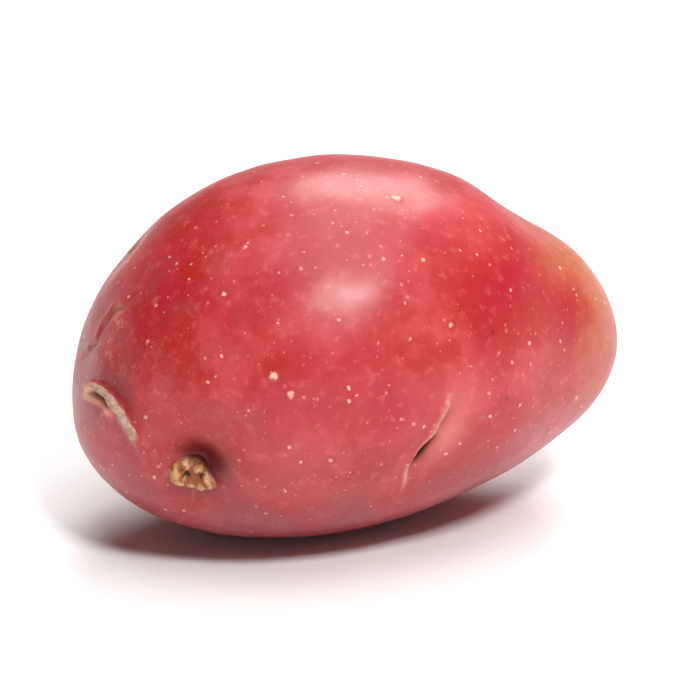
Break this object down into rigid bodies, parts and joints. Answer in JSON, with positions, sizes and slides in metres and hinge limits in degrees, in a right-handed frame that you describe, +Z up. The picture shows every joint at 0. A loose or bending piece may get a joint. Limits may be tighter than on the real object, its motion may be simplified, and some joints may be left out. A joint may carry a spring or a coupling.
{
  "type": "potato",
  "caption": "Whole raw potato with smooth red skin, shallow eyes and a corky stem scar, lying on a small flat spot.",
  "frame": {"origin": "under the middle of the potato's box, on the surface that it rests on", "axes": "+Z up; +X along the length, from the blunt stem end to the slimmer bud end; -Y is the side with the long slit eye"},
  "size_m": [0.084, 0.058, 0.0552],
  "materials": {
    "skin": "satin"
  },
  "bodies": {
    "root": {"potato": "skin"}
  },
  "joints": []
}
